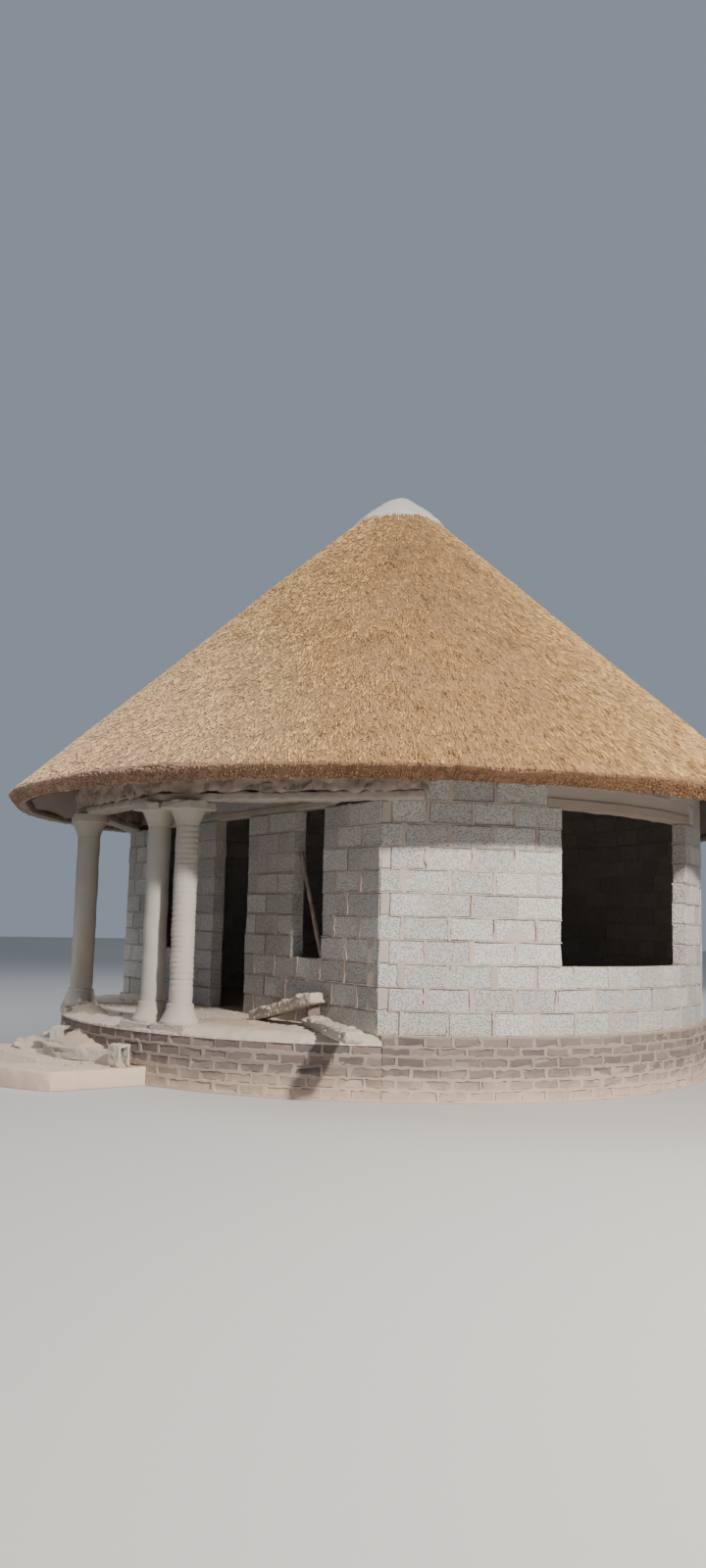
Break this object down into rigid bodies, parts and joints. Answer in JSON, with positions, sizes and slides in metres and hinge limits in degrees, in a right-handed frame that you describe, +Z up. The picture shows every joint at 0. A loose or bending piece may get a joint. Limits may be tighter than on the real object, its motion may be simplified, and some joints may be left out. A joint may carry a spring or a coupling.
{
  "type": "rondavel hut",
  "caption": "Round blockwork hut with a thatched cone roof, a recessed porch behind paired columns, door and window openings, brick plinth and steps.",
  "frame": {"origin": "centre of the round wall at ground level, on the underside of the floor fill", "axes": "+Z up, the door and porch face -Y"},
  "size_m": [8.62, 9.0898, 6.6405],
  "materials": {
    "brick": "rough",
    "block": "rough",
    "rubble": "rough",
    "precast": "rough",
    "plaster": "rough",
    "screed": "rough",
    "fill": "rough",
    "thatch": "rough",
    "cement": "rough",
    "pole": "rough"
  },
  "bodies": {
    "root": {"beam_filling_front": "rubble", "beam_fillings_side": "rubble", "beam_front": "precast", "beams_side": "precast", "broken_lintel_lower": "precast", "broken_lintel_upper": "precast", "column_inner_east": "plaster", "column_inner_west": "plaster", "column_outer_east": "plaster", "column_outer_west": "plaster", "door_lintel": "precast", "floor_fill": "fill", "floor_slab": "screed", "laths": "pole", "leaning_pole": "pole", "loose_blocks": "block", "plinth_back_east": "brick", "plinth_back_west": "brick", "plinth_east": "brick", "plinth_west": "brick", "porch_fill": "fill", "porch_plinth": "brick", "porch_slab": "screed", "prop_brick": "brick", "rafters": "pole", "recess_ends": "block", "recess_piers": "block", "recess_upper": "block", "roof_cap": "cement", "roof_hub": "pole", "slot_lintels": "precast", "slot_sills": "block", "step_lower": "screed", "step_upper": "screed", "thatch_back": "thatch", "thatch_front": "thatch", "thatch_left": "thatch", "thatch_right": "thatch", "wall_back_1": "block", "wall_back_2": "block", "wall_back_3": "block", "wall_back_4": "block", "wall_pier_east": "block", "wall_plate": "pole", "wall_upper_back_east": "block", "wall_upper_back_west": "block", "wall_upper_east": "block", "wall_upper_west": "block", "wall_west": "block", "window_lintel": "precast", "window_sill": "block"}
  },
  "joints": []
}
